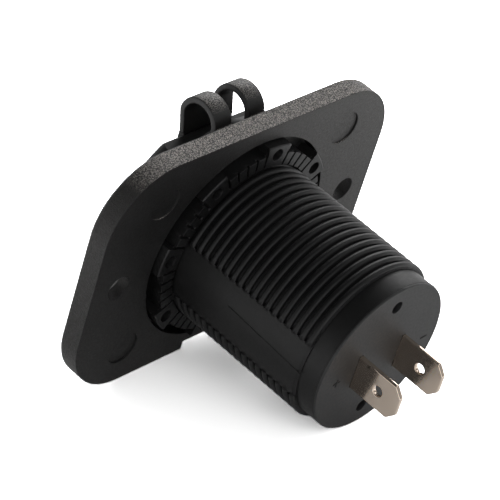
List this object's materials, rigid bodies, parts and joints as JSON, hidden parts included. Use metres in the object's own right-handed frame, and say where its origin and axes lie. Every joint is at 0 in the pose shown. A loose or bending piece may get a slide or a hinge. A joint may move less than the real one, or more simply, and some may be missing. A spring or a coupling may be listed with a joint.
{
  "type": "car usb charger",
  "caption": "Dashboard USB charger socket with a ribbed barrel, ring nut, flat screw-on panel, blade terminals and a hinged rubber dust cap.",
  "frame": {"origin": "midway between the two screw holes, on the back face of the mounting panel", "axes": "the panel lies in the XZ plane, the socket faces -Y with its barrel along +Y, and the hinge straps are at the top, +Z"},
  "size_m": [0.0626, 0.0546, 0.0439],
  "materials": {
    "panel_plastic": "fine grained black moulding",
    "body_plastic": "satin black moulding",
    "nut_plastic": "satin black moulding",
    "face_plastic": "satin black moulding",
    "cap_rubber": "soft black rubber",
    "plated_blade": "tin plated sheet",
    "shell_steel": "plated sheet steel",
    "insulator": "white moulding",
    "contact_gold": "plated contact",
    "board_laminate": "green coated laminate",
    "ferrite": "dark ferrite",
    "copper_wire": "enamelled winding",
    "can_aluminium": "drawn can",
    "chip_plastic": "moulded package",
    "lamp_clear": "clear light guide"
  },
  "bodies": {
    "socket": {"mounting_panel": "panel_plastic", "socket_body": "body_plastic", "retaining_nut": "nut_plastic", "rear_cover": "body_plastic", "terminal_positive": "plated_blade", "terminal_negative": "plated_blade", "hinge_ring": "cap_rubber", "hinge_straps": "cap_rubber", "port_face": "face_plastic", "usb_shell_upper": "shell_steel", "usb_shell_lower": "shell_steel", "usb_tongue_upper": "insulator", "usb_tongue_lower": "insulator", "usb_contacts_upper": "contact_gold", "usb_contacts_lower": "contact_gold", "circuit_board": "board_laminate", "inductor_core": "ferrite", "inductor_coil": "copper_wire", "input_capacitor": "can_aluminium", "output_capacitor": "can_aluminium", "converter_chip": "chip_plastic", "rectifier_diode": "chip_plastic", "status_led": "lamp_clear", "light_guide": "lamp_clear"},
    "cap": {"dust_cap": "cap_rubber"}
  },
  "joints": [
    {"name": "cap_hinge", "type": "hinge", "parent": "socket", "child": "cap", "pos_m": [0, -0.0094, 0.021], "axis": [-1, 0, 0], "range_deg": [0, 170], "deforming": ["hinge_straps"]}
  ]
}
